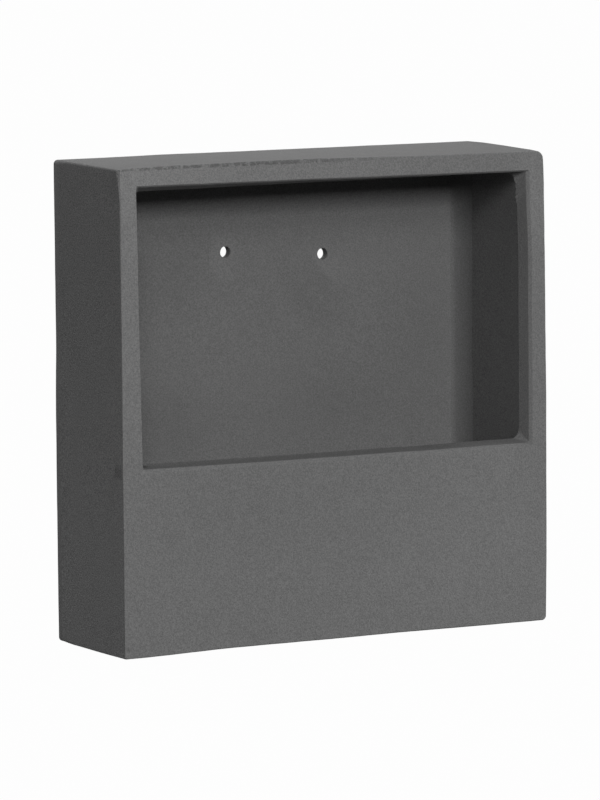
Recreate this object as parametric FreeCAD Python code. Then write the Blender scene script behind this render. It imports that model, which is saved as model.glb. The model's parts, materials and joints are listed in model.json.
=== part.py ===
"""Wall planter laid up by hand in fibre clay, 400 x 120 x 400 mm.

A deep front shell with a window over a closed trough, a flat back panel with
two fixing holes, the cove of paste that bonds the two from the inside, and a
rubber stopper in the drain hole of the trough.

Millimetres.  +X is to the right, -Y is the front, +Y is the wall, +Z is up.
The origin is the middle of the underside.
"""
import FreeCAD, Part
import os
from FreeCAD import Vector

# Overall size
width = 400.0
depth = 120.0
height = 400.0

# Front shell: its walls, and the rounding of its outer edges
front_thickness = 14.0
side_thickness = 10.0       # at the back; the sides and the top were laid thicker towards the front
top_thickness = 10.0
floor_thickness = 12.0
front_thickening = 6.0      # how much thicker they are just behind the front
middle_thickening = 2.5     # and a third of the way back
thickening_end_y = 30.0     # where they have come down to their thickness at the back
long_edge_radius = 3.5      # the four edges that run from the front to the wall
front_arris_radius = 1.3    # the edge all round the front face
inside_blend_radius = 2.0   # inside, where the front turns into the walls

# Window in the front
side_rim = 16.5             # from the outer side to the edge of the window
top_rim = 17.5
window_height = 229.0
window_corner_radius = 1.0  # nearly sharp at the front
window_chamfer = 2.0
reveal_lean = 2.8           # how far the reveal leans in on its way back
reveal_corner_radius = 6.5  # soft at the back, where it was smoothed by hand

# Back panel and its two fixing holes, drilled by eye: the right one is lower
panel_thickness = 8.0
panel_arris_radius = 1.5
hole_diameter = 10.0
hole_spacing = 93.0
hole_middle_x = 2.3
hole_middle_z = 314.0
hole_drop = 6.0

# Cove of bonding paste, all round the inside of the joint
cove_radius = 13.0
cove_lip = 0.6              # thickness of its feathered edges
cove_corner_land = 2.5      # the inside corners are rounder than the cove by this

# Drain hole in the floor of the trough, and its stopper
drain_diameter = 20.0
stopper_clearance = 0.3
stopper_taper = 0.8         # the plug's radius shrinks by this towards its tip
stopper_tip_gap = 1.0       # from the tip up to the planter's underside
stopper_tip_radius = 1.5
flange_diameter = 32.0
flange_thickness = 4.0
flange_edge_radius = 1.5

overrun = 1.0               # how far a cutting shape passes the face it cuts

# Planes and outlines that several pieces share
front_y = -depth / 2
wall_y = depth / 2
seam_y = wall_y - panel_thickness
cavity_front_y = front_y + front_thickness
cavity_half_width = width / 2 - side_thickness
cavity_top_z = height - top_thickness
cove_reach = cove_radius + cove_lip
inside_corner_radius = cove_reach + cove_corner_land
drain_y = (cavity_front_y + seam_y) / 2


def outline(half_width, low, high, radius, y):
    """Rounded rectangle, centred on X = 0, in the plane at this depth."""
    corners = [(half_width, high, 1, 1), (-half_width, high, -1, 1),
               (-half_width, low, -1, -1), (half_width, low, 1, -1)]
    bends = []
    for number, (x, z, out_x, out_z) in enumerate(corners):
        middle = Vector(x - out_x * radius, y, z - out_z * radius)
        along_x = middle + Vector(out_x * radius, 0, 0)
        along_z = middle + Vector(0, 0, out_z * radius)
        knee = middle + Vector(out_x, 0, out_z).normalize() * radius
        ends = (along_x, along_z) if number % 2 == 0 else (along_z, along_x)
        bends.append((ends[0], knee, ends[1]))
    edges = []
    for bend, following in zip(bends, bends[1:] + bends[:1]):
        edges.append(Part.Arc(*bend).toShape())
        edges.append(Part.LineSegment(bend[2], following[0]).toShape())
    return Part.Wire(edges)


def block(half_width, low, high, radius, near_y, far_y):
    """Solid with this rounded outline between two depths."""
    face = Part.Face(outline(half_width, low, high, radius, near_y))
    return face.extrude(Vector(0, far_y - near_y, 0))


def round_end(shape, y, radius):
    """Round the edge all round the flat end at this depth."""
    rim = [edge for edge in shape.Edges
           if abs(edge.BoundBox.YMin - y) < 1e-6 and abs(edge.BoundBox.YMax - y) < 1e-6]
    return shape.makeFillet(radius, rim)


def window_cutter():
    """Chamfer, then a reveal whose corners soften as it leans in."""
    half_width = width / 2 - side_rim
    high = height - top_rim
    low = high - window_height
    lean_per_mm = reveal_lean / (front_thickness - window_chamfer)
    stations = [(-overrun, -window_chamfer - overrun, window_corner_radius),
                (window_chamfer, 0.0, window_corner_radius),
                (front_thickness, reveal_lean, reveal_corner_radius),
                (front_thickness + overrun, reveal_lean + overrun * lean_per_mm,
                 reveal_corner_radius)]
    wires = [outline(half_width - inset, low + inset, high - inset, radius, front_y + back)
             for back, inset, radius in stations]
    return Part.makeLoft(wires, True, True)


def make_cavity():
    """Space inside the shell: its sides and ceiling draw in towards the front, its floor is level."""
    middle_y = cavity_front_y + (thickening_end_y - cavity_front_y) / 3
    stations = [(cavity_front_y, front_thickening), (middle_y, middle_thickening),
                (thickening_end_y, 0.0), (seam_y + overrun, 0.0)]
    wires = [outline(cavity_half_width - thickening, floor_thickness, cavity_top_z - thickening,
                     inside_corner_radius - thickening, y) for y, thickening in stations]
    return round_end(Part.makeLoft(wires, True, True), cavity_front_y, inside_blend_radius)


def make_front_shell():
    outer = block(width / 2, 0, height, long_edge_radius, front_y, seam_y)
    outer = round_end(outer, front_y, front_arris_radius)
    cavity = make_cavity()
    drain = Part.makeCylinder(drain_diameter / 2, floor_thickness + 2 * overrun,
                              Vector(0, drain_y, -overrun))
    return outer.cut([cavity, window_cutter(), drain])


def make_back_panel():
    panel = block(width / 2, 0, height, long_edge_radius, seam_y, wall_y)
    panel = round_end(panel, wall_y, panel_arris_radius)
    holes = [Part.makeCylinder(hole_diameter / 2, panel_thickness + 2 * overrun,
                               Vector(hole_middle_x + side * hole_spacing / 2, seam_y - overrun,
                                      hole_middle_z - side * hole_drop / 2), Vector(0, 1, 0))
             for side in (-1, 1)]
    return panel.cut(holes)


def make_bonding_cove():
    """Hollow section pressed into the joint, swept round the inside corners."""
    wall_x = cavity_half_width
    middle_z = (floor_thickness + cavity_top_z) / 2

    def point(from_wall, from_panel):
        return Vector(wall_x - from_wall, seam_y - from_panel, middle_z)

    hollow_x = cove_lip + cove_radius * (1 - 0.5 ** 0.5)
    section = Part.Wire([
        Part.LineSegment(point(0, 0), point(cove_reach, 0)).toShape(),
        Part.LineSegment(point(cove_reach, 0), point(cove_reach, cove_lip)).toShape(),
        Part.Arc(point(cove_reach, cove_lip), point(hollow_x, hollow_x),
                 point(cove_lip, cove_reach)).toShape(),
        Part.LineSegment(point(cove_lip, cove_reach), point(0, cove_reach)).toShape(),
        Part.LineSegment(point(0, cove_reach), point(0, 0)).toShape(),
    ])
    joint_line = outline(cavity_half_width, floor_thickness, cavity_top_z,
                         inside_corner_radius, seam_y)
    return joint_line.makePipeShell([section], True, False)


def make_drain_stopper():
    """Rubber plug turned about the drain's axis, its flange on the trough floor."""
    top_radius = drain_diameter / 2 - stopper_clearance
    tip_radius = top_radius - stopper_taper
    plug = Part.makeCone(tip_radius, top_radius, floor_thickness - stopper_tip_gap,
                         Vector(0, drain_y, stopper_tip_gap))
    plug = plug.makeFillet(stopper_tip_radius, circles_at(plug, stopper_tip_gap))
    flange = Part.makeCylinder(flange_diameter / 2, flange_thickness,
                               Vector(0, drain_y, floor_thickness))
    flange = flange.makeFillet(flange_edge_radius,
                               circles_at(flange, floor_thickness + flange_thickness))
    return plug.fuse(flange)


def circles_at(shape, z):
    """Round edges that lie flat at this height."""
    return [edge for edge in shape.Edges
            if abs(edge.BoundBox.ZMin - z) < 1e-6 and abs(edge.BoundBox.ZMax - z) < 1e-6]


pieces = {
    "front_shell": make_front_shell(),
    "back_panel": make_back_panel(),
    "bonding_cove": make_bonding_cove(),
    "drain_stopper": make_drain_stopper(),
}

os.makedirs("parts", exist_ok=True)
for name, shape in pieces.items():
    shape.exportStep("parts/" + name + ".step")
    box = shape.BoundBox
    print(name, "solids", len(shape.Solids), "valid", shape.isValid(),
          "volume cm3 %.1f" % (shape.Volume / 1000),
          "box", [round(v, 2) for v in (box.XMin, box.XMax, box.YMin, box.YMax, box.ZMin, box.ZMax)])
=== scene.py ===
"""Looks of a wall planter laid up by hand in fibre clay: skins, finishes, floor, lamps and camera."""
import json
import math

import bmesh
import bpy
import numpy as np
from mathutils import Matrix, Vector, noise


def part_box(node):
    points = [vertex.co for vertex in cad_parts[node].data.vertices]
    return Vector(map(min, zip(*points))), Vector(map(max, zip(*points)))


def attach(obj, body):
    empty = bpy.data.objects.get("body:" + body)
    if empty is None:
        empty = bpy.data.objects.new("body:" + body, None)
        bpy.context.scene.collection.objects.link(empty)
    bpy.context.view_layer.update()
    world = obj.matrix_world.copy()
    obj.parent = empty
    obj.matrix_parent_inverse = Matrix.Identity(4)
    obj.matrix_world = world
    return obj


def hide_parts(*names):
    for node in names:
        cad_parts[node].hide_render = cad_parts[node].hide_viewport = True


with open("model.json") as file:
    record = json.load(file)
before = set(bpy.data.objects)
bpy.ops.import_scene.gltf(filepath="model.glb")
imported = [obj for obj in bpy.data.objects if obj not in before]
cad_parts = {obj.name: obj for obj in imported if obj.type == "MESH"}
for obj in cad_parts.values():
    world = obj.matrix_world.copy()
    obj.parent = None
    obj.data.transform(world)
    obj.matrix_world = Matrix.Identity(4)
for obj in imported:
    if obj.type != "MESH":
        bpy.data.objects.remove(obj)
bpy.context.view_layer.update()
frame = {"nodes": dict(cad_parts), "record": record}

# Everything below is in millimetres, in the frame of the solids, until a mesh is made.
MM = 0.001
shell_low, shell_high = (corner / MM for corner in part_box("front_shell"))
_, panel_high = (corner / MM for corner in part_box("back_panel"))
cove_low, cove_high = (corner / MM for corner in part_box("bonding_cove"))
stopper_low, stopper_high = (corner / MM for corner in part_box("drain_stopper"))
front_y, seam_y, wall_y = shell_low.y, shell_high.y, panel_high.y
half_width, height = shell_high.x, shell_high.z
cove_reach = cove_high.y - cove_low.y
mounts = {mount["name"]: mount for mount in frame["record"]["mounts"]}
fixing_holes = [Vector(mounts[name]["pos_m"]) / MM for name in ("fixing_hole_left", "fixing_hole_right")]
fixing_radius = mounts["fixing_hole_left"]["dims"]["r_mm"]

front_thickness = 14.0
long_edge_radius = 3.5        # the outer edges that run from the front to the wall
inside_corner_radius = 16.1   # the same edges inside, where the clay was smoothed into the corners
inside_blend_radius = 8.0
wall_fullness = 4.6           # clay on the inner walls, over their least thickness
drain_middle = (stopper_low + stopper_high) / 2
drain_radius = 10.0


# ---------------------------------------------------------------- shader maths

class Value:
    """A socket of one finish, so that sums on sockets are written as sums."""

    def __init__(self, finish, socket):
        self.finish, self.socket = finish, socket

    def maths(self, operation, *values):
        return self.finish.node("Math", {"operation": operation}, dict(enumerate(values)))

    def other(self, output):
        """Another output of the node that this one comes from."""
        return Value(self.finish, self.socket.node.outputs[output])

    def __add__(self, other):
        return self.maths("ADD", self, other)

    def __sub__(self, other):
        return self.maths("SUBTRACT", self, other)

    def __rsub__(self, other):
        return self.maths("SUBTRACT", other, self)

    def __mul__(self, other):
        return self.maths("MULTIPLY", self, other)

    def __pow__(self, power):
        return self.maths("POWER", self, power)

    def __abs__(self):
        return self.maths("ABSOLUTE", self)

    __radd__, __rmul__ = __add__, __mul__


class Finish:
    """The nodes of a material or of the world, with its places on the object in millimetres."""

    def __init__(self, owner):
        owner.use_nodes = True
        self.owner, self.tree = owner, owner.node_tree
        self.tree.nodes.clear()

    def node(self, kind, settings=None, inputs=None, output=0):
        made = self.tree.nodes.new("ShaderNode" + kind)
        for name, setting in (settings or {}).items():
            setattr(made, name, setting)
        for name, value in (inputs or {}).items():
            if isinstance(value, Value):
                self.tree.links.new(value.socket, made.inputs[name])
            else:
                made.inputs[name].default_value = value
        return Value(self, made.outputs[output]) if made.outputs else None

    def locate(self):
        """Set the place of each point of the surface: as a vector, and as x, y and z."""
        metres = self.node("TexCoord", output="Object")
        self.place = self.node("VectorMath", {"operation": "SCALE"}, {0: metres, "Scale": 1 / MM})
        self.x = self.node("SeparateXYZ", inputs={0: self.place})
        self.y, self.z = self.x.other("Y"), self.x.other("Z")

    def grit(self, size, detail=2.0, roughness=0.5, seed=0.0):
        """Noise from about -1 to 1, with lumps about this many millimetres across."""
        shifted = self.node("VectorMath", {"operation": "ADD"}, {0: self.place, 1: (seed * 31.0,) * 3})
        raw = self.node("TexNoise", {"noise_dimensions": "3D"},
                        {"Vector": shifted, "Scale": 1 / size, "Detail": detail, "Roughness": roughness})
        return (raw - 0.5) * 3.0

    def ease(self, value, low, high, low_to=0.0, high_to=1.0):
        """Smooth step from one value to another."""
        return self.node("MapRange", {"interpolation_type": "SMOOTHSTEP"},
                         {"Value": value, "From Min": low, "From Max": high,
                          "To Min": low_to, "To Max": high_to})

    def spot(self, across, up, middle, radii, tilt=0.0, feather=0.4):
        """1 inside an ellipse on two of the axes, easing to 0 outside it."""
        turn = math.radians(tilt)
        right, high = across - middle[0], up - middle[1]
        along = (right * math.cos(turn) + high * math.sin(turn)) * (1 / radii[0])
        over = (high * math.cos(turn) - right * math.sin(turn)) * (1 / radii[1])
        reach = (along * along + over * over) ** 0.5
        return self.ease(reach, 1 - feather, 1 + feather, 1.0, 0.0)

    def stroke(self, across, up, start, end, half_breadth, feather):
        """1 along a straight line between two places, easing to 0 beside it and past its ends."""
        start, end = Vector(start), Vector(end)
        length = (end - start).length
        run = (end - start) / length
        right, high = across - start.x, up - start.y
        along = right * run.x + high * run.y
        beside = abs(high * run.x - right * run.y)
        breadth = self.ease(beside, half_breadth - feather, half_breadth + feather, 1.0, 0.0)
        return breadth * self.ease(abs(along - length / 2), length * 0.35, length * 0.5 + feather, 1.0, 0.0)

    def patches(self, across, up, blots):
        """Sum of soft blots: each is its middle, its radii and how much lighter or darker it is."""
        total = 0.0
        for middle, radii, change in blots:
            total = self.spot(across, up, middle, radii, feather=0.9) * change + total
        return total


# ---------------------------------------------------------------- finishes

clay_grey = 0.145         # how much light the bare clay throws back
# The paste is darker than the clay: partly its own tone, partly painted shade for the hollow of the cove.
paste_tone_and_shade = 0.128


def speckled(finish, tone, grain):
    """Clay with its sand: fine grain, soft mottling, a few open pits and pale grains."""
    sand = finish.grit(1.1, 1.0, 0.6)
    mottle = finish.grit(17.0, 2.0, 0.5, 1.0)
    pit_spacing = 7.0
    cells = finish.node("TexVoronoi", {"feature": "F1"},
                        {"Vector": finish.place, "Scale": 1 / pit_spacing, "Randomness": 1.0})
    chosen = finish.grit(11.0, 0.0, 0.5, 3.0)
    pit = finish.ease(cells, 0.06, 0.13, 1.0, 0.0) * finish.ease(chosen, 0.4, 0.7)
    pale = finish.ease(cells, 0.06, 0.12, 1.0, 0.0) * finish.ease(chosen, -0.45, -0.6)
    return tone * (1 + sand * (grain * 0.3) + mottle * 0.03) * (1 - pit * 0.2 + pale * 0.12), sand, pit


def clay_surface(finish, tone, sand, pit):
    """Dull clay in this tone, its grain and pits standing out by a fraction of a millimetre."""
    relief = 0.12
    grey = finish.node("CombineColor", {"mode": "RGB"}, {0: tone, 1: tone, 2: tone})
    bump = finish.node("Bump", inputs={"Height": sand * 0.5 - pit, "Distance": relief * MM,
                                       "Strength": 1.0})
    shader = finish.node("BsdfPrincipled", inputs={
        "Base Color": grey, "Roughness": finish.ease(sand, -1.0, 1.0, 0.92, 0.78),
        "Specular IOR Level": 0.1, "Normal": bump})
    finish.node("OutputMaterial", inputs={"Surface": shader})
    return finish.owner


def make_shell_finish():
    """Front smoothed by hand, sides and walls coarser, and an arris full of pits along the top."""
    finish = Finish(bpy.data.materials.new("fibre_clay_shell"))
    finish.locate()
    x, y, z = finish.x, finish.y, finish.z
    behind = finish.ease(y, front_y + 0.4, front_y + 2.5)
    beside = finish.ease(abs(x), half_width - 2.0, half_width - 1.0) * behind
    above = finish.ease(z, height - 4.0, height - 2.5) * behind
    inside = finish.ease(y, front_y + 5, front_y + 14) * (1 - beside) * (1 - above)
    on_front = 1 - behind
    grain = 0.97 + beside * 0.95 + inside * 0.45 - above * 0.5
    tone, sand, pit = speckled(finish, clay_grey, grain)
    # Soft lighter and darker blots on the front and the top.
    blots = finish.patches(x, z, [((-185, 400), (75, 60), 0.17), ((-192, 260), (22, 120), 0.05),
                                  ((-193, 348), (12, 28), -0.05), ((0, 398), (90, 20), 0.05),
                                  ((120, 395), (100, 26), -0.04), ((193, 365), (16, 40), 0.07),
                                  ((193, 230), (18, 110), -0.05), ((-20, 125), (170, 40), -0.05),
                                  ((-80, 90), (110, 70), -0.02), ((150, 70), (90, 90), 0.05)])
    # Painted light on the outer sides: lighter towards the base for light thrown up from the floor, darker
    # towards the top.
    painted_floor_bounce = finish.ease(z, 40, 380, 0.09, -0.07)
    top_blots = finish.patches(x, y, [((0, 0), (130, 90), -0.04)])
    tone = tone * (1 + blots * on_front + painted_floor_bounce * beside + top_blots * above)
    # Painted shade in the reveal: darker along the sill, under the lintel and in its bottom left corner.
    reveal = finish.ease(y, front_y + 2, front_y + 3.5) * finish.ease(y, front_y + 16, front_y + 14)
    painted_sill_shade = finish.ease(z, 160, 154) * finish.ease(z, 146, 150) * finish.ease(x, 160, 90) * reveal
    painted_lintel_shade = finish.ease(z, 376, 379) * finish.ease(z, 388, 385) * finish.ease(abs(x), 184, 180) * reveal
    # Painted shade in the bottom left corner of the reveal.
    corner = finish.spot(x, y, (-182.0, front_y + 12), (9.0, 5.0), -20.0, 0.3) * finish.ease(z, 160, 158)
    tone = tone * (1 - painted_sill_shade * 0.26) * (1 - painted_lintel_shade * 0.2) * (1 - corner * 0.55)
    # The mould let go unevenly along the top front edge: a broken row of pits, with raised dashes behind it.
    edge = finish.ease(y, front_y + 0.8, front_y + 1.7, 1.0, 0.0) * finish.ease(z, height - 3.4, height - 2.2)
    broken = finish.ease(finish.grit(5.0, 2.0, 0.6, 5.0), -0.35, 0.1) * finish.ease(x, 90, -60)
    dashes = finish.ease(y, front_y + 1.2, front_y + 2.2) * finish.ease(y, front_y + 5, front_y + 3)
    dashes = dashes * finish.ease(finish.grit(4.0, 1.0, 0.5, 6.0), 0.1, 0.4) * finish.ease(x, 90, -60) * above
    tone = tone * (1 - edge * broken * 0.34) * (1 + dashes * 0.09)
    # A few larger holes on the front, one scratch, and a nick in the side.
    holes = 0.0
    for middle, radii, depth in (((-144.7, 117.3), (2.2, 1.3), 0.12), ((-100.6, 84.5), (1.6, 1.1), 0.12),
                                 ((-123.8, 87.8), (1.3, 1.8), 0.10), ((-197.0, 8.0), (1.4, 2.2), 0.2)):
        holes = finish.spot(x, z, middle, radii, 20.0, 0.6) * depth + holes
    scratch = finish.stroke(x, z, (6.0, 114.0), (15.0, 117.0), 0.6, 0.4)
    nick = finish.stroke(y, z, (47.1, 376.2), (47.1, 381.0), 0.7, 0.4) * beside
    tone = tone * (1 - (holes + scratch * 0.08) * on_front - nick * 0.25)
    return clay_surface(finish, tone, sand, pit + edge * broken)


def make_panel_finish():
    """Trowelled plate, rubbed brighter where the two holes were drilled."""
    finish = Finish(bpy.data.materials.new("fibre_clay_panel"))
    finish.locate()
    x, z = finish.x, finish.z
    tone, sand, pit = speckled(finish, clay_grey, 0.95)
    # Left hole: a lighter patch with a sharp left edge.
    rubbed = finish.spot(x, z, (-44.5, 311.0), (15.0, 19.0), 0.0, 0.25)
    rubbed = rubbed * finish.ease(x, -30.0, -42.0, 0.3, 1.0)
    rim = finish.stroke(x, z, (-60.5, 325.0), (-59.5, 302.0), 0.6, 0.5)
    # Right hole: a band wiped down to the right between two lines, and flecks below it.
    wiped = finish.stroke(x, z, (36.0, 316.5), (64.0, 284.0), 2.6, 1.2)
    between = finish.stroke(x, z, (47.0, 322.0), (74.0, 288.0), 10.0, 4.0)
    arc = finish.stroke(x, z, (55.0, 323.0), (67.0, 312.5), 0.6, 0.5) + finish.stroke(
        x, z, (66.0, 313.5), (76.0, 297.0), 0.6, 0.5)
    flecks = sum(finish.spot(x, z, middle, radii, 30.0, 0.5) for middle, radii in (
        ((38.5, 280.7), (5.0, 2.5)), ((57.8, 267.0), (4.0, 2.2)), ((48.1, 274.3), (3.0, 2.0)),
        ((30.0, 289.0), (3.0, 1.6)), ((60.0, 281.0), (4.5, 2.6))))
    dull = finish.spot(x, z, (42.0, 276.0), (30.0, 20.0), -35.0, 0.5)
    blots = finish.patches(x, z, [((-112, 309), (50, 30), -0.07), ((62.9, 183), (48, 26), -0.07),
                                  ((143.8, 236.7), (34, 60), -0.06), ((-130, 176), (60, 26), -0.07),
                                  ((-70, 235), (70, 34), 0.03), ((100, 300), (45, 40), 0.03)])
    marks = rubbed * 0.09 + wiped * 0.07 + between * 0.035 + flecks * 0.05
    marks = marks - rim * 0.07 - arc * 0.08 - dull * 0.06
    return clay_surface(finish, tone * (1 + marks + blots), sand, pit)


def make_paste_finish():
    finish = Finish(bpy.data.materials.new("bonding_paste"))
    finish.locate()
    tone, sand, pit = speckled(finish, paste_tone_and_shade, 0.9)
    # Painted highlight: a lighter streak down the upper right of the cove, where its hollow catches the
    # light.
    painted_highlight_streak = finish.stroke(finish.x, finish.z, (167.0, 345.0), (181.0, 310.0), 2.0, 2.0)
    tone = tone * (1 + painted_highlight_streak * 0.06)
    return clay_surface(finish, tone, sand, pit)


def make_rubber_finish():
    finish = Finish(bpy.data.materials.new("stopper_rubber"))
    finish.locate()
    dust = finish.grit(3.0, 3.0, 0.6)
    tone = finish.ease(dust, -1.0, 1.0, 0.016, 0.032)
    grey = finish.node("CombineColor", {"mode": "RGB"}, {0: tone, 1: tone, 2: tone})
    bump = finish.node("Bump", inputs={"Height": dust, "Distance": 0.05 * MM, "Strength": 1.0})
    shader = finish.node("BsdfPrincipled", inputs={
        "Base Color": grey, "Roughness": finish.ease(dust, -1.0, 1.0, 0.5, 0.7), "Normal": bump})
    finish.node("OutputMaterial", inputs={"Surface": shader})
    return finish.owner


# ---------------------------------------------------------------- shapes

SIDE_STEPS = 130      # points along each side of an outline
BEND_STEPS = 8        # steps round each of its corners


def unit(vectors):
    return vectors / np.linalg.norm(vectors, axis=-1, keepdims=True)


def slope_between(value, low, high):
    """0 at one value, 1 at another, eased between them."""
    share = np.clip((value - low) / (high - low), 0, 1)
    return share * share * (3 - 2 * share)


def outline(corners, radii, depth):
    """Closed loop of points round four (x, z) corners, each rounded, at one depth."""
    corners = [np.array(corner, float) for corner in corners]
    turn = np.linspace(0, math.pi / 2, BEND_STEPS + 1)[:, None]
    bends = []
    for number, (corner, radius) in enumerate(zip(corners, radii)):
        behind = unit(corners[number - 1] - corner)
        ahead = unit(corners[(number + 1) % 4] - corner)
        bends.append(corner + radius * (behind * (1 - np.sin(turn)) + ahead * (1 - np.cos(turn))))
    share = np.linspace(0, 1, SIDE_STEPS + 2)[1:-1, None]
    loop = []
    for bend, following in zip(bends, bends[1:] + bends[:1]):
        loop += [bend, bend[-1] + (following[0] - bend[-1]) * share]
    x, z = np.concatenate(loop).T
    return np.column_stack([x, np.full(len(x), depth), z])


def rectangle(half_width, low, high):
    """Corners in the order of every outline: top right, top left, bottom left, bottom right."""
    return [(half_width, high), (-half_width, high), (-half_width, low), (half_width, low)]


class Knee:
    """One edge of a section that is swept round an outline, and how it is rounded."""

    def __init__(self, loop, before, after, bend_steps=4, leg_steps=1, flat=0.0):
        self.loop = loop
        self.before = np.broadcast_to(before, len(loop))[:, None]
        self.after = np.broadcast_to(after, len(loop))[:, None]
        self.bend_steps, self.leg_steps = bend_steps, leg_steps
        self.flat = np.broadcast_to(flat, len(loop))[:, None]


def sweep(knees):
    """Rows of points: each row is a loop, and the rows together go once round the section."""
    guard = 0.25
    rows = []
    for number, knee in enumerate(knees):
        previous, following = knees[number - 1], knees[(number + 1) % len(knees)]
        start = knee.loop + unit(previous.loop - knee.loop) * knee.before
        end = knee.loop + unit(following.loop - knee.loop) * knee.after
        for step in range(knee.bend_steps + 1):
            share = step / max(knee.bend_steps, 1)
            turn = share * math.pi / 2
            arc = (knee.loop + (start - knee.loop) * (1 - math.sin(turn))
                   + (end - knee.loop) * (1 - math.cos(turn)))
            chord = start + (end - start) * share
            rows.append(arc + (chord - arc) * knee.flat)
        leg_end = following.loop + unit(knee.loop - following.loop) * following.before
        # A narrow strip at each end of a flat keeps the rounding's shading off the flat.
        run = unit(leg_end - end)
        first, last = end + run * guard, leg_end - run * guard
        rows += [first + (last - first) * step / knee.leg_steps for step in range(knee.leg_steps + 1)]
    return np.array(rows)


def ripple(points, size, seed):
    """Smooth noise from -1 to 1 at each point, with lumps of about this size."""
    shift = Vector((seed * 17.3, seed * 5.1, seed * 9.7))
    return np.array([noise.noise(Vector(point) / size + shift) for point in points])


def burr_share(z):
    """How far the burr at the top of the left front edge has grown: all of it at the top, none 27 mm down."""
    return np.clip((z - (height - 27)) / 27, 0, 1)


def hand_made(points):
    """Where each point of a true planter ends up on this one, which left its mould a little uneven."""
    flat = points.reshape(-1, 3)
    x, y, z = flat.T
    moved = flat.copy()
    for axis in range(3):
        moved[:, axis] += 0.28 * ripple(flat, 85.0, 11 + axis) + 0.10 * ripple(flat, 19.0, 21 + axis)
    # The left side bulges a little towards the wall, up to the middle of its height and a bit more.
    bulge = 0.75 * slope_between(z, 250, 205) * slope_between(y, 0, 55)
    # Clay was dragged over the top of its front edge, and stands out there as a burr.
    burr = 2.0 * burr_share(z) * slope_between(y, -38, -58)
    moved[:, 0] -= (bulge + burr) * slope_between(x, -185, -199)
    # The right side bellies out below the middle and is drawn in at the top.
    belly = 1.45 * slope_between(z, 420, 120) * slope_between(z, -60, 90) - 1.1 * slope_between(z, 370, 400)
    moved[:, 0] += belly * slope_between(x, 182, 199)
    # The top falls away towards its front corners, the right one most.
    fall = 0.5 * slope_between(x, -150, -60) - 1.7 * slope_between(x, -30, 110)
    fall -= 0.3 * slope_between(x, 110, 200)
    fall -= 0.6 * slope_between(x, -145, -190) + 0.8 * slope_between(x, -185, -200)
    moved[:, 2] += fall * slope_between(z, 386, 399) * slope_between(y, 45, -75) * 1.15
    moved[:, 2] += 0.5 * slope_between(z, 386, 399) * slope_between(y, -60, 50) * slope_between(x, -160, -80)
    # The bottom of the front was rubbed up in a long shallow curve.
    rise = 0.3 + 1.4 * slope_between(x, -190, -95) * (1 - 0.65 * slope_between(x, 40, 195))
    moved[:, 2] += rise * slope_between(z, 11, 0) * slope_between(y, -25, -60)
    # It stands flat on its base and lies flat on the wall.
    moved[:, 2] = np.maximum(moved[:, 2], 0.0)
    moved[:, 1] = np.minimum(moved[:, 1], wall_y)
    return moved.reshape(points.shape)


def make_piece(name, points, faces, material, sharp_degrees):
    mesh = bpy.data.meshes.new(name)
    mesh.from_pydata((points.reshape(-1, 3) * MM).tolist(), [], faces.tolist())
    shape = bmesh.new()
    shape.from_mesh(mesh)
    bmesh.ops.recalc_face_normals(shape, faces=shape.faces)
    shape.to_mesh(mesh)
    shape.free()
    mesh.materials.append(material)
    piece = bpy.data.objects.new(name, mesh)
    bpy.context.scene.collection.objects.link(piece)
    mesh.shade_smooth()
    mesh.set_sharp_from_angle(angle=math.radians(sharp_degrees))
    return piece


def ring_faces(row_count, loop_count):
    """Faces of a section that closes on itself round a loop that closes on itself."""
    index = np.arange(row_count * loop_count).reshape(row_count, loop_count)
    next_row, next_point = np.roll(index, -1, axis=0), np.roll(index, -1, axis=1)
    corner = np.roll(next_row, -1, axis=1)
    return np.stack([index, next_row, corner, next_point], axis=-1).reshape(-1, 4)


def cut(piece, points, faces, sharp_degrees):
    """Take the space inside these faces out of a piece."""
    cutter = make_piece("cutter", points, faces, piece.data.materials[0], sharp_degrees)
    boolean = piece.modifiers.new("cut", "BOOLEAN")
    boolean.operation, boolean.solver, boolean.object = "DIFFERENCE", "EXACT", cutter
    bpy.context.view_layer.update()
    evaluated = piece.evaluated_get(bpy.context.evaluated_depsgraph_get())
    mesh = bpy.data.meshes.new_from_object(evaluated)
    piece.modifiers.clear()
    piece.data = mesh
    mesh.shade_smooth()
    mesh.set_sharp_from_angle(angle=math.radians(sharp_degrees))
    bpy.data.objects.remove(cutter)


def bore(middle, axis, stations, seed, count=48, unevenness=0.0):
    """Points and faces of a round cutter: stations are (distance along the axis, radius)."""
    angle = np.arange(count) * 2 * math.pi / count
    rings = []
    for along, radius in stations:
        places = [Vector((math.cos(a) * 1.7, math.sin(a) * 1.7, seed * 3.7 + along * 0.3)) for a in angle]
        uneven = 1 + unevenness * np.array([noise.noise(place) for place in places])
        ring = np.zeros((count, 3))
        sides = [side for side in range(3) if side != axis]
        ring[:, axis] = along
        ring[:, sides[0]] = middle[sides[0]] + radius * uneven * np.cos(angle)
        ring[:, sides[1]] = middle[sides[1]] + radius * uneven * np.sin(angle)
        rings.append(ring)
    points = np.concatenate(rings + [[rings[0].mean(axis=0), rings[-1].mean(axis=0)]])
    index = np.arange(len(stations) * count).reshape(len(stations), count)
    after = np.roll(index, -1, axis=1)
    quads = np.stack([index[:-1], index[1:], after[1:], after[:-1]], axis=-1).reshape(-1, 4).tolist()
    near, far = len(points) - 2, len(points) - 1
    caps = [[near, a, b] for a, b in zip(index[0], after[0])]
    caps += [[far, b, a] for a, b in zip(index[-1], after[-1])]
    return points, np.array(quads + caps, dtype=object)


# ---------------------------------------------------------------- pieces

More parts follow.
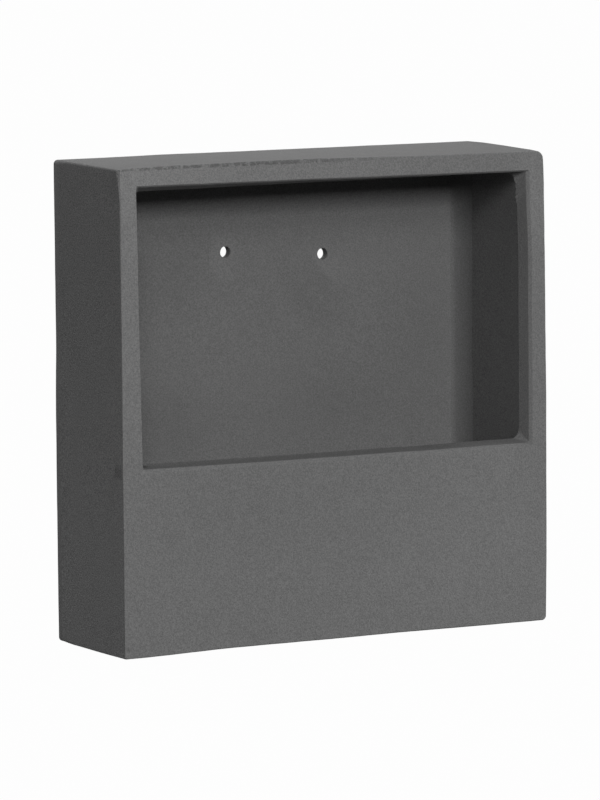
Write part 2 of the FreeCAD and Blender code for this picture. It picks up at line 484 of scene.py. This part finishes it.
def make_shell_skin():
    """The front shell as the hand left it: no line quite straight, no edge quite even."""
    lip_y = front_y + front_thickness
    chamfer = 2.0
    far_y, near_y = 34.0, -42.0
    true_box = rectangle(half_width, 0, height)
    outer_back = outline(true_box, (long_edge_radius,) * 4, seam_y)
    outer_far = outline(true_box, (2.5, 2.2, 1.5, 2.5), far_y)
    outer_near = outline(true_box, (2.5, 1.6, 1.5, 2.5), near_y)
    outer_front = outline(true_box, (6.5, 2.0, 1.5, 3.5), front_y)
    arris_corners = [(185.0, 381.4), (-184.9, 383.4), (-181.3, 154.3), (185.0, 153.6)]
    mouth_corners = [(187.3, 382.8), (-185.7, 384.8), (-182.1, 151.9), (187.3, 151.6)]
    rear_corners = [(182.6, 380.8), (-182.3, 379.1), (-178.2, 157.2), (182.9, 156.4)]
    window_mouth = outline(mouth_corners, (0.8, 0.6, 1.4, 1.4), front_y)
    window_arris = outline(arris_corners, (0.6, 1.8, 1.0, 1.0), front_y + chamfer)
    window_rear = outline(rear_corners, (10.0, 6.5, 6.5, 7.5), lip_y)
    for loop in (window_mouth, window_arris, window_rear):
        x, _, z = loop.T
        sag = slope_between(z, 170, 158) * (1 - ((x - 30) / 215) ** 2)
        drawn_in = slope_between(z, 305, 388) * slope_between(x, 165, 180)
        loop[:, 2] -= 0.9 * sag
        loop[:, 0] -= 2.1 * drawn_in
        shake = [ripple(loop * (1, 0, 1), size, seed) for size, seed in ((60.0, 5), (45.0, 6), (11.0, 7))]
        loop[:, 0] += 0.4 * shake[0] + 0.12 * shake[2]
        loop[:, 2] += 0.35 * shake[1] + 0.12 * shake[2]
    window_rear[:, 1] += 1.5 * slope_between(window_rear[:, 2], 170, 158)
    # A web of clay was left in its top right corner at the back, and tore off ragged.
    x, _, z = window_rear.T
    torn = slope_between(x, 165, 178) * slope_between(z, 352, 366)
    window_rear[:, 0] -= torn * (0.6 + 3.2 * np.abs(ripple(window_rear * (1, 0, 1), 2.6, 9)))
    window_rear[:, 2] -= torn * 1.2 * np.abs(ripple(window_rear * (1, 0, 1), 2.0, 10))
    # The walls were laid thicker towards the front: how much thicker they are, and at which depth.
    thickening = ((6.9, lip_y), (4.2, -14.0), (wall_fullness, 18.0), (wall_fullness, seam_y))
    insides = [outline(rectangle(cove_high.x - thicker, cove_low.z, cove_high.z - thicker),
                       (inside_corner_radius - thicker,) * 4, depth)
               for thicker, depth in thickening]
    shelf = np.linalg.norm(insides[0] - window_rear, axis=1)
    blend = np.minimum(inside_blend_radius, 0.5 * shelf)

    # The burr on the left front edge was rubbed flat, which left a narrow facet.
    x, _, z = outer_front.T
    facet = burr_share(z) * np.clip((-half_width + 2 - x) / 2, 0, 1)
    arris = 1.1 + 0.3 * ripple(outer_front, 23.0, 1) + 0.3 * ripple(outer_front, 7.0, 2)
    arris = np.clip(arris, 0.6, 2.0)
    chamfered = 0.4 + 0.2 * ripple(window_mouth, 12.0, 3)
    knees = [
        Knee(outer_back, 0, 0, 0, 6),
        Knee(outer_far, 0, 0, 0, 20),
        Knee(outer_near, 0, 0, 0, 6),
        Knee(outer_front, np.maximum(arris, 3.6 * facet), np.maximum(arris, 2.7 * facet), 6, 44,
             np.clip(facet * 6, 0, 1)),
        Knee(window_mouth, chamfered, chamfered, 3, 2),
        Knee(window_arris, chamfered, chamfered, 3, 6),
        Knee(window_rear, 0.9, 0.9, 4, 2),
        Knee(insides[0], blend, 2 + 0.6 * blend, 5, 2),
        Knee(insides[1], 15, 15, 6, 2),
        Knee(insides[2], 14, 14, 6, 4),
        Knee(insides[3], 0, 0, 0, 1),
    ]
    rows = hand_made(sweep(knees))
    skin = make_piece("front_shell_skin", rows, ring_faces(*rows.shape[:2]), shell_clay, 22)
    floor_top = cove_low.z
    cut(skin, *bore(drain_middle, 2, [(-4, drain_radius), (floor_top + 4, drain_radius)], 1), 22)
    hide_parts("front_shell")
    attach(skin, "planter")


def plate_grid(half_width, low, high, radius, depth, spacing):
    """Grid of points that fills a rounded rectangle at one depth."""
    def stops(first, last):
        middle = np.linspace(first + radius, last - radius, int((last - first) / spacing))
        edge = np.linspace(0, radius, 5)[:-1]
        return np.concatenate([first + edge, middle, last - edge[::-1]])

    x, z = np.meshgrid(stops(-half_width, half_width), stops(low, high), indexing="ij")
    middle_z = (low + high) / 2
    from_x = half_width - radius
    from_z = (high - low) / 2 - radius
    right, up = np.sign(x), np.sign(z - middle_z)
    a = np.clip((np.abs(x) - from_x) / radius, 0, 1)
    b = np.clip((np.abs(z - middle_z) - from_z) / radius, 0, 1)
    in_corner = (a > 0) & (b > 0)
    x = np.where(in_corner, right * (from_x + radius * a * np.sqrt(1 - b * b / 2)), x)
    z = np.where(in_corner, middle_z + up * (from_z + radius * b * np.sqrt(1 - a * a / 2)), z)
    return np.stack([x, np.full_like(x, depth), z], axis=-1)


def rim_of(grid):
    """Border of a grid, once round it."""
    return np.concatenate([grid[:-1, 0], grid[-1, :-1], grid[:0:-1, -1], grid[0, :0:-1]])


def make_panel_skin():
    """The back panel, its outer arris rubbed round and its two holes drilled by hand."""
    arris = 1.5
    spacing = 4.5
    sizes = (half_width, 0, height, long_edge_radius)
    inner = plate_grid(*sizes, seam_y, spacing)
    turns = np.linspace(0, math.pi / 2, 5)
    steps = [(0.0, seam_y), (0.0, seam_y + 3.0)]
    steps += [(arris * (1 - math.cos(turn)), wall_y - arris + arris * math.sin(turn)) for turn in turns]
    rims = []
    for inset, depth in steps:
        grid = plate_grid(half_width - inset, inset, height - inset, long_edge_radius - inset, depth, spacing)
        if grid.shape != inner.shape:
            raise ValueError("the panel's rims have to match its faces")
        rims.append(rim_of(grid))
    outer = grid
    columns, lines = inner.shape[:2]
    face_points = columns * lines
    number = np.arange(face_points).reshape(columns, lines)
    sheet = np.stack([number[:-1, :-1], number[1:, :-1], number[1:, 1:], number[:-1, 1:]], axis=-1)
    sheet = sheet.reshape(-1, 4)
    rim_count = len(rims[0])
    first_rim, last_rim = rim_of(number), rim_of(number) + face_points
    ring_numbers = [first_rim]
    points = [inner.reshape(-1, 3), outer.reshape(-1, 3)]
    start = 2 * face_points
    for rim in rims[1:-1]:
        points.append(rim)
        ring_numbers.append(np.arange(rim_count) + start)
        start += rim_count
    ring_numbers.append(last_rim)
    bands = [np.stack([near, far, np.roll(far, -1), np.roll(near, -1)], axis=-1)
             for near, far in zip(ring_numbers, ring_numbers[1:])]
    faces = np.concatenate([sheet, sheet + face_points] + bands)
    skin = make_piece("back_panel_skin", hand_made(np.concatenate(points)), faces, panel_clay, 30)
    for seed, hole in enumerate(fixing_holes):
        stations = [(seam_y - 2, fixing_radius + 0.5), (seam_y - 0.2, fixing_radius),
                    (seam_y + 0.6, fixing_radius - 0.3), (wall_y - 1.0, fixing_radius - 0.3),
                    (wall_y + 0.2, fixing_radius), (wall_y + 2, fixing_radius + 0.5)]
        cut(skin, *bore(hole, 1, stations, seed, 40, 0.05), 40)
    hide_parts("back_panel")
    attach(skin, "planter")


def make_cove_skin():
    """Paste pressed into the joint with a fingertip: a tight bend at the panel, then a flatter flank."""
    at_wall = outline(rectangle(cove_high.x, cove_low.z, cove_high.z), (inside_corner_radius,) * 4, seam_y)
    inset = rectangle(cove_high.x - cove_reach, cove_low.z + cove_reach, cove_high.z - cove_reach)
    at_panel = outline(inset, (inside_corner_radius - cove_reach,) * 4, seam_y)
    inward = (at_panel - at_wall) / cove_reach
    towards_front = np.array([0.0, -1.0, 0.0])
    uneven = 1 + 0.07 * ripple(at_wall, 34.0, 7)[:, None] + 0.03 * ripple(at_wall, 9.0, 8)[:, None]
    wall_face = wall_fullness * slope_between(at_wall[:, 2], cove_low.z, cove_low.z + 25)[:, None]
    # The hollow, from the panel to the wall: a tight arc and then a flatter one, each (radius, end angle).
    from_start, up, turned = 0.0, 0.0, 0.0
    hollow = [(0.0, 0.0)]
    for radius, end in ((6.0, 51), (35.6, 79)):
        for turn in np.linspace(turned, math.radians(end), 8)[1:]:
            hollow.append((from_start + radius * (math.sin(turn) - math.sin(turned)),
                           up + radius * (math.cos(turned) - math.cos(turn))))
        from_start, up = hollow[-1]
        turned = math.radians(end)
    section = [(from_start - along, height_there) for along, height_there in reversed(hollow)]
    sunk = 0.08
    rows = [at_wall + inward * (wall_face + from_wall * uneven - sunk)
            + towards_front * (from_panel * uneven - sunk) for from_wall, from_panel in section]
    widest, tallest = section[-1][0], section[0][1]
    rows.append(at_wall + inward * (wall_face + widest * uneven) - towards_front * 1.5)
    rows.append(at_wall - inward * 1.5 - towards_front * 1.5)
    rows.append(at_wall - inward * 1.5 + towards_front * tallest * uneven)
    rows = hand_made(np.array(rows))
    skin = make_piece("bonding_cove_skin", rows, ring_faces(*rows.shape[:2]), paste, 40)
    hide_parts("bonding_cove")
    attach(skin, "planter")


# ---------------------------------------------------------------- surroundings

def backdrop_finish():
    """White to the camera and in reflections, but dark to the light that it throws back on the planter."""
    finish = Finish(bpy.data.materials.new("pale_floor"))
    floor_grey = 0.06
    whiteness = 0.985      # the rest lets the planter's shadow show
    path = finish.node("LightPath", output="Is Camera Ray")
    direct = path + path.other("Is Glossy Ray") + path.other("Is Transmission Ray")
    floor = finish.node("BsdfDiffuse", inputs={"Color": (floor_grey, floor_grey, floor_grey, 1)})
    white = finish.node("Emission", inputs={"Color": (1, 1, 1, 1), "Strength": 1.0})
    shown = direct.maths("MINIMUM", direct, 1.0) * whiteness
    surface = finish.node("MixShader", inputs={0: shown, 1: floor, 2: white})
    finish.node("OutputMaterial", inputs={"Surface": surface})
    return finish.owner


def make_floor():
    half = 20.0
    mesh = bpy.data.meshes.new("floor")
    mesh.from_pydata([(-half, -half, 0), (half, -half, 0), (half, half, 0), (-half, half, 0)],
                     [], [(0, 1, 2, 3)])
    floor = bpy.data.objects.new("floor", mesh)
    bpy.context.scene.collection.objects.link(floor)
    mesh.materials.append(backdrop_finish())


def make_world():
    """White behind the planter, and a faint even light on it."""
    even_light = 0.14
    world = bpy.data.worlds.new("studio")
    bpy.context.scene.world = world
    finish = Finish(world)
    path = finish.node("LightPath", output="Is Camera Ray")
    faint = finish.node("Background", inputs={"Color": (1, 1, 1, 1), "Strength": even_light})
    white = finish.node("Background", inputs={"Color": (1, 1, 1, 1), "Strength": 1.0})
    direct = path + path.other("Is Glossy Ray") + path.other("Is Transmission Ray")
    shown = direct.maths("MINIMUM", direct, 1.0)
    surface = finish.node("MixShader", inputs={0: shown, 1: faint, 2: white})
    finish.node("OutputWorld", inputs={"Surface": surface})


def make_lamp(name, azimuth, elevation, size, power, distance):
    """Soft rectangular lamp, its distance in metres: azimuth 0 is in front and grows to the right."""
    aim = Vector((0, 0, 0.2))
    lamp = bpy.data.lights.new(name, "AREA")
    lamp.shape = "RECTANGLE"
    lamp.size, lamp.size_y = size
    lamp.energy = power
    lamp_object = bpy.data.objects.new(name, lamp)
    bpy.context.scene.collection.objects.link(lamp_object)
    around, up = math.radians(azimuth), math.radians(elevation)
    away = Vector((math.sin(around) * math.cos(up), -math.cos(around) * math.cos(up), math.sin(up)))
    lamp_object.location = aim + away * distance
    lamp_object.rotation_mode = "QUATERNION"
    lamp_object.rotation_quaternion = (-away).to_track_quat("-Z", "Y")


def make_camera():
    azimuth, elevation, roll = (math.radians(angle) for angle in (-29.0026, 6.4164, -0.4248))
    distance = 4.62386
    aim = Vector((-0.002367, 0.000621, 0.194824))
    back = Vector((math.sin(azimuth) * math.cos(elevation), -math.cos(azimuth) * math.cos(elevation),
                   math.sin(elevation)))
    camera = bpy.data.cameras.new("camera")
    camera.lens = 249.40
    camera_object = bpy.data.objects.new("camera", camera)
    bpy.context.scene.collection.objects.link(camera_object)
    camera_object.rotation_mode = "QUATERNION"
    level = (-back).to_track_quat("-Z", "Y")
    camera_object.rotation_quaternion = level @ Matrix.Rotation(roll, 3, "Z").to_quaternion()
    camera_object.location = aim + back * distance
    camera.clip_start, camera.clip_end = 0.1, 100
    bpy.context.scene.camera = camera_object


shell_clay = make_shell_finish()
panel_clay = make_panel_finish()
paste = make_paste_finish()
rubber = make_rubber_finish()
node_finishes = {"front_shell": shell_clay, "back_panel": panel_clay, "bonding_cove": paste,
                 "drain_stopper": rubber}
for name, node in frame["nodes"].items():
    node.data.materials.clear()
    node.data.materials.append(node_finishes[name])

make_shell_skin()
make_panel_skin()
make_cove_skin()

make_floor()
make_world()
make_lamp("front", -2, 16, (1.6, 0.8), 128, 5)
make_lamp("left_front_low", -28, 20, (0.8, 0.7), 23, 5)
make_lamp("left_front_high", -32, 24, (0.6, 0.5), 27, 5)
make_lamp("left_high", -45, 26, (0.6, 0.5), 12, 5)
make_lamp("left_low", -83, 4.5, (0.6, 0.25), 14, 5)
make_lamp("left", -100, 6, (1.0, 0.8), 19, 5)
make_lamp("right", 80, 4, (1.0, 1.0), 215, 5)
make_lamp("above", 180, 70, (0.5, 0.3), 5.3, 1)
make_camera()
bpy.context.scene.view_settings.view_transform = "Standard"
